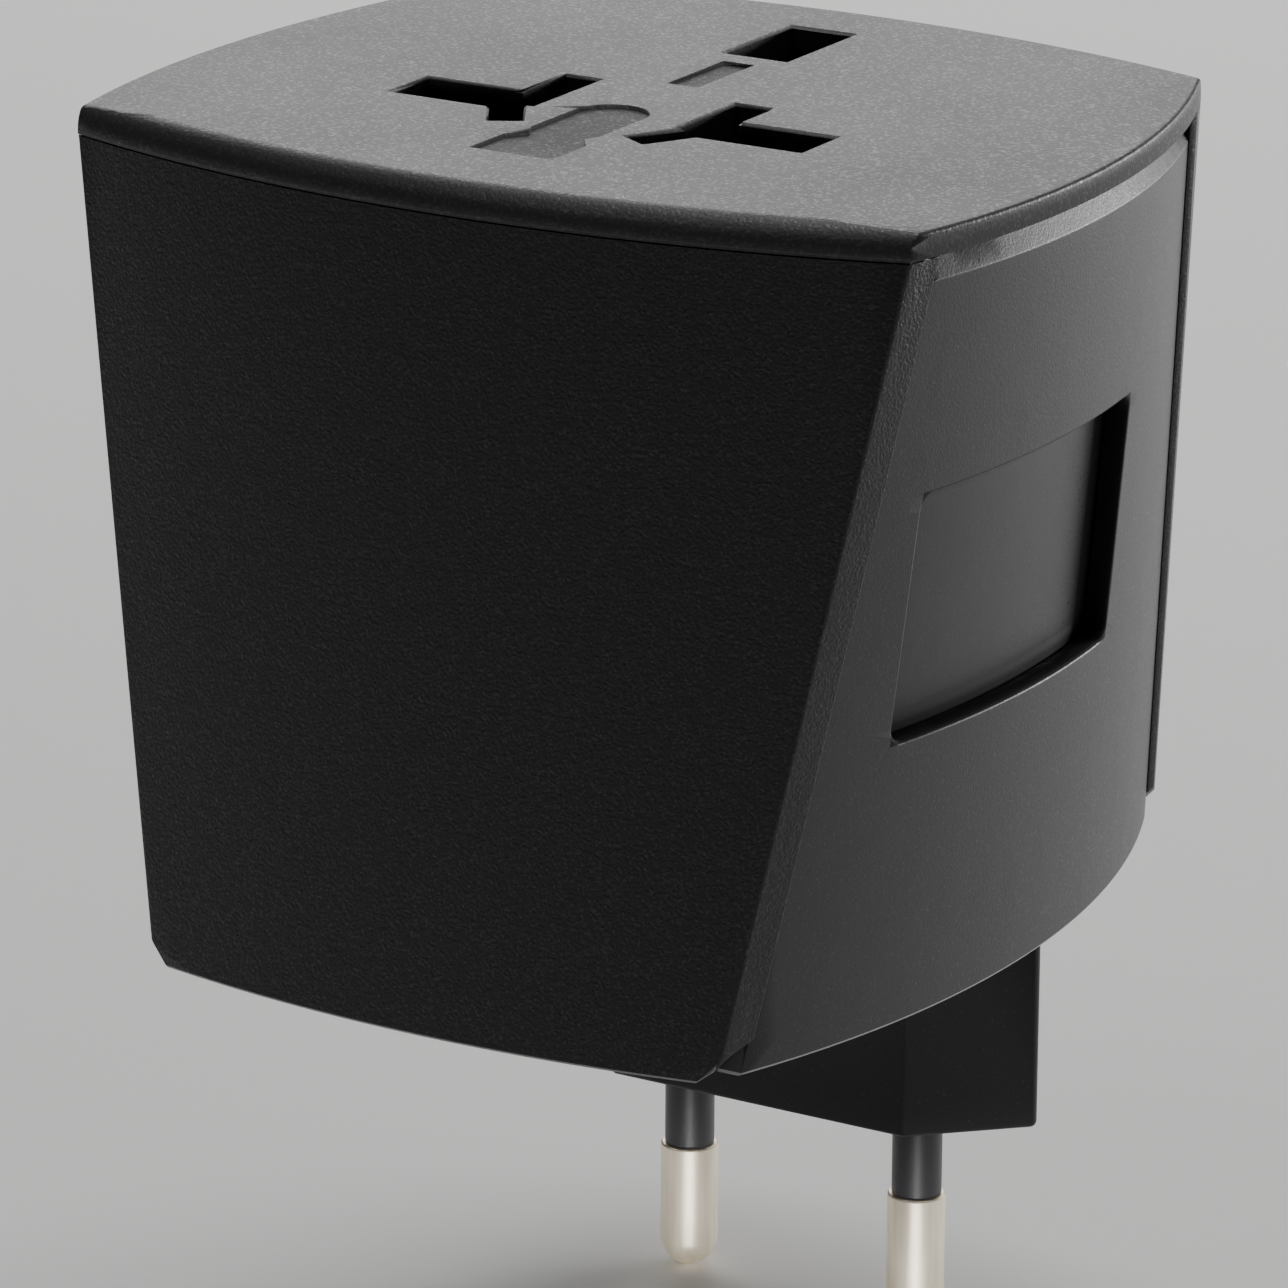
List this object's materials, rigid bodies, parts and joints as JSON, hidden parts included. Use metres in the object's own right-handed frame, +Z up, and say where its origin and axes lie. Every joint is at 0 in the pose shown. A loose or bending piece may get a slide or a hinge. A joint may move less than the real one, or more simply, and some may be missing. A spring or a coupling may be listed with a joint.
{
  "type": "universal travel adapter",
  "caption": "Travel plug adapter with a multi-country socket on top and sliding European, British and American plugs below.",
  "frame": {"origin": "on the socket face, midway between the line and neutral slots", "axes": "+Z up out of the socket face, +X to the right along the front cover, +Y towards the back cover and its slider knobs"},
  "size_m": [0.0642, 0.065, 0.089],
  "materials": {
    "cap_plastic": "fine moulded texture",
    "cover_plastic": "fine sparkling moulded texture",
    "panel_plastic": "satin moulded texture",
    "press_plate_plastic": "smooth satin",
    "base_plastic": "moulded texture",
    "inner_plastic": "plain moulded",
    "plug_plastic": "smooth satin",
    "carriage_plastic": "plain moulded",
    "knob_plastic": "ribbed, satin",
    "sleeve_plastic": "satin",
    "nickel": "nickel plate with fine turning marks",
    "contact_brass": "rolled strip",
    "ceramic": "glazed",
    "spring_steel": "bright"
  },
  "bodies": {
    "root": {"top_cap": "cap_plastic", "front_cover": "cover_plastic", "back_cover": "cover_plastic", "side_panel_right": "panel_plastic", "side_panel_left": "panel_plastic", "bottom_plate": "base_plastic", "housing_screws": "spring_steel", "inner_chassis": "inner_plastic", "fuse_body": "ceramic", "fuse_caps": "nickel", "fuse_clips": "contact_brass", "shutter_spring": "spring_steel", "plate_spring_right": "spring_steel", "plate_spring_left": "spring_steel", "contact_line": "contact_brass", "contact_neutral": "contact_brass", "busbar_line": "contact_brass", "busbar_neutral": "contact_brass"},
    "eu_plug": {"eu_plug_block": "plug_plastic", "eu_slide_knob": "knob_plastic", "eu_pin_right": "nickel", "eu_pin_left": "nickel", "eu_pin_sleeve_right": "sleeve_plastic", "eu_pin_sleeve_left": "sleeve_plastic", "eu_wiper_right": "contact_brass", "eu_wiper_left": "contact_brass"},
    "uk_plug": {"uk_carriage": "carriage_plastic", "uk_pin_sleeves": "sleeve_plastic", "uk_earth_pin": "carriage_plastic", "uk_slide_knob": "knob_plastic", "uk_pin_line": "nickel", "uk_pin_neutral": "nickel"},
    "us_plug": {"us_carriage": "carriage_plastic", "us_slide_knob": "knob_plastic"},
    "us_blade_right_turret": {"us_blade_right": "nickel", "us_turret_right": "carriage_plastic"},
    "us_blade_left_turret": {"us_blade_left": "nickel", "us_turret_left": "carriage_plastic"},
    "press_right": {"press_plate_right": "press_plate_plastic"},
    "press_left": {"press_plate_left": "press_plate_plastic"},
    "shutter": {"safety_shutter": "inner_plastic"}
  },
  "joints": [
    {"name": "eu_plug_slide", "type": "slide", "parent": "root", "child": "eu_plug", "axis": [0, 0, 1], "range_m": [0, 0.0355]},
    {"name": "uk_plug_slide", "type": "slide", "parent": "root", "child": "uk_plug", "axis": [0, 0, -1], "range_m": [0, 0.023]},
    {"name": "us_plug_slide", "type": "slide", "parent": "root", "child": "us_plug", "axis": [0, 0, -1], "range_m": [0, 0.018]},
    {"name": "us_blade_right_twist", "type": "hinge", "parent": "us_plug", "child": "us_blade_right_turret", "pos_m": [0.00635, -0.0022, -0.036], "axis": [0, 0, 1], "range_deg": [-30, 0]},
    {"name": "us_blade_left_twist", "type": "hinge", "parent": "us_plug", "child": "us_blade_left_turret", "pos_m": [-0.00635, -0.0022, -0.036], "axis": [0, 0, 1], "range_deg": [0, 30]},
    {"name": "press_plate_right_push", "type": "slide", "parent": "root", "child": "press_right", "axis": [-1, 0, 0], "range_m": [0, 0.0012], "stiffness_N_per_m": 800, "springref_m": -0.001, "deforming": ["plate_spring_right"]},
    {"name": "press_plate_left_push", "type": "slide", "parent": "root", "child": "press_left", "axis": [1, 0, 0], "range_m": [0, 0.0012], "stiffness_N_per_m": 800, "springref_m": -0.001, "deforming": ["plate_spring_left"]},
    {"name": "shutter_slide", "type": "slide", "parent": "root", "child": "shutter", "axis": [0, -1, 0], "range_m": [0, 0.0046], "stiffness_N_per_m": 200, "springref_m": -0.001, "deforming": ["shutter_spring"]}
  ]
}
